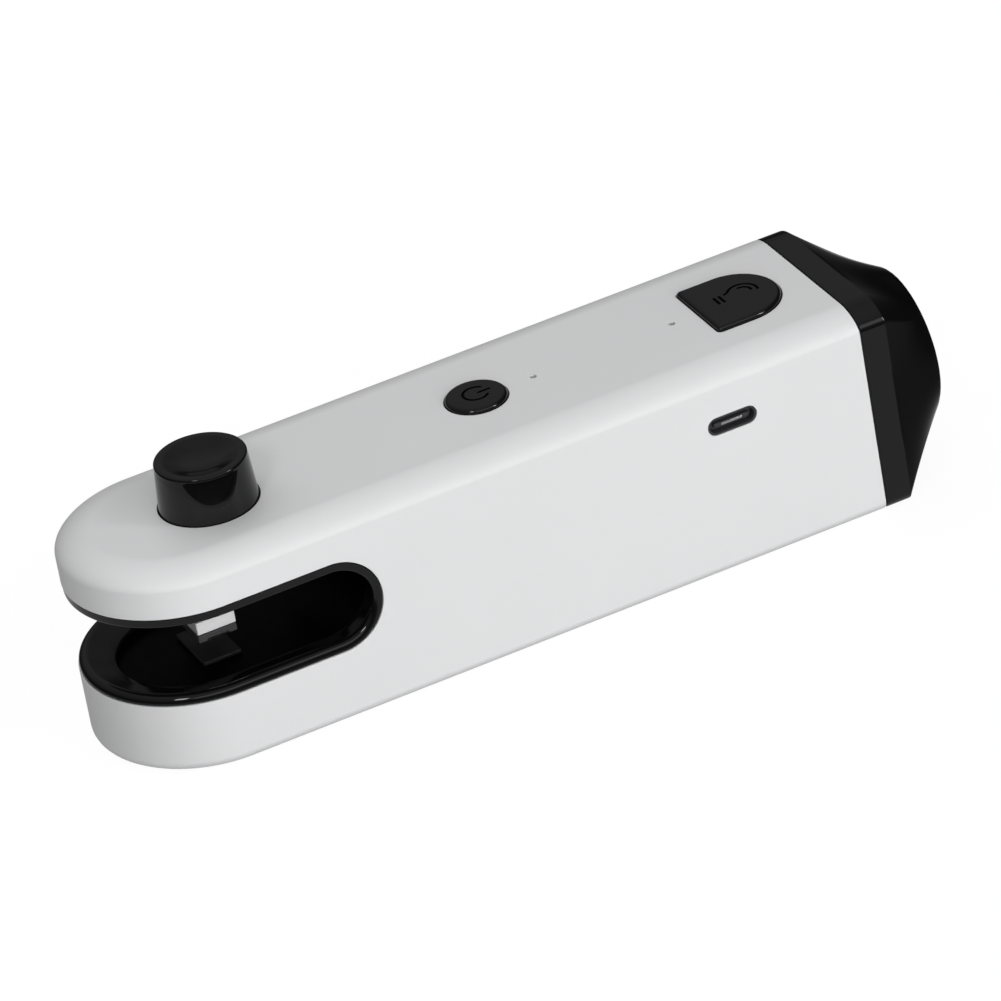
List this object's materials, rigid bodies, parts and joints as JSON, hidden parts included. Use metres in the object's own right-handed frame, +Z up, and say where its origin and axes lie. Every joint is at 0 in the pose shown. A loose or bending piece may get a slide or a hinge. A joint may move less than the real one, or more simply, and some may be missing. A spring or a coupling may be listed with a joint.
{
  "type": "handheld bag heat sealer",
  "caption": "Handheld bag heat sealer: slotted round-nosed body, sprung press knob over a heating head, buttons, charging port and a vacuum suction nozzle.",
  "frame": {"origin": "centre of the overall box, on the flat underside that it rests on", "axes": "+X from the rounded slotted nose to the suction nozzle, which is the longest side; +Y to the side away from the charging port; +Z up, the way the knob stands"},
  "size_m": [0.158, 0.04, 0.0473],
  "materials": {
    "white_shell": "satin, fine moulded grain",
    "black_gloss": "polished black moulding",
    "dark_plastic": "matt moulding",
    "grey_plastic": "matt moulding",
    "steel": "fine turned",
    "aluminium": "satin",
    "brass": "turned",
    "copper": "bare metal",
    "heating_alloy": "rolled ribbon, slightly oxidised",
    "ceramic": "grey coated ceramic",
    "grey_silicone": "smooth silicone",
    "black_rubber": "soft, matt",
    "light_pipe": "frosted clear plastic",
    "led_body": "satin",
    "circuit_board": "solder mask",
    "cell_wrap": "shrink film",
    "red_wire": "smooth insulation",
    "black_wire": "smooth insulation"
  },
  "bodies": {
    "casing": {"housing": "white_shell", "base_cover": "white_shell", "slot_liner": "black_gloss", "rear_cap": "black_gloss", "mouth_seal": "black_rubber", "inlet_grille": "dark_plastic", "suction_tube": "grey_silicone", "chassis": "grey_plastic", "anvil_support": "dark_plastic", "anvil_pad": "grey_silicone", "return_spring": "steel", "guide_bush": "brass", "press_switch": "dark_plastic", "heater_terminal": "dark_plastic", "heater_lead_1": "copper", "heater_lead_2": "copper", "power_switch": "dark_plastic", "vacuum_switch": "dark_plastic", "light_pipe_front": "light_pipe", "light_pipe_rear": "light_pipe", "led_front": "led_body", "led_rear": "led_body", "main_board": "circuit_board", "usb_port_shell": "steel", "usb_port_tongue": "dark_plastic", "power_transistor": "dark_plastic", "inductor": "copper", "control_chip": "dark_plastic", "charge_chip": "dark_plastic", "battery_cell": "cell_wrap", "battery_lead_red": "red_wire", "battery_lead_black": "black_wire", "motor_can": "steel", "crankcase": "dark_plastic", "wobble_plate": "grey_plastic", "diaphragm": "black_rubber", "valve_cover": "grey_plastic", "motor_lead_red": "red_wire", "motor_lead_black": "black_wire", "cover_screw_1": "steel", "pump_screw_1": "steel", "cover_screw_2": "steel", "pump_screw_2": "steel", "cover_screw_3": "steel", "pump_screw_3": "steel", "cover_screw_4": "steel", "pump_screw_4": "steel"},
    "press_plunger": {"press_knob": "black_gloss", "plunger_stem": "steel", "head_carrier": "dark_plastic", "heater_block": "aluminium", "heater_tip": "ceramic", "heating_ribbon": "heating_alloy"},
    "power_key": {"power_button": "black_gloss", "power_switch_plunger": "black_gloss"},
    "vacuum_key": {"vacuum_button": "black_gloss", "vacuum_switch_plunger": "black_gloss"},
    "pump_rotor": {"motor_shaft": "steel", "drive_crank": "grey_plastic"}
  },
  "joints": [
    {"name": "knob_press", "type": "slide", "parent": "casing", "child": "press_plunger", "axis": [0, 0, -1], "range_m": [0, 0.0037], "stiffness_N_per_m": 700, "springref_m": -0.002, "deforming": ["return_spring"]},
    {"name": "power_press", "type": "slide", "parent": "casing", "child": "power_key", "axis": [0, 0, -1], "range_m": [0, 0.0005], "stiffness_N_per_m": 2500, "springref_m": -0.0003},
    {"name": "vacuum_press", "type": "slide", "parent": "casing", "child": "vacuum_key", "axis": [0, 0, -1], "range_m": [0, 0.0005], "stiffness_N_per_m": 2500, "springref_m": -0.0003},
    {"name": "pump_spin", "type": "hinge", "parent": "casing", "child": "pump_rotor", "pos_m": [0.034, 0, 0.014], "axis": [1, 0, 0], "continuous": true}
  ]
}
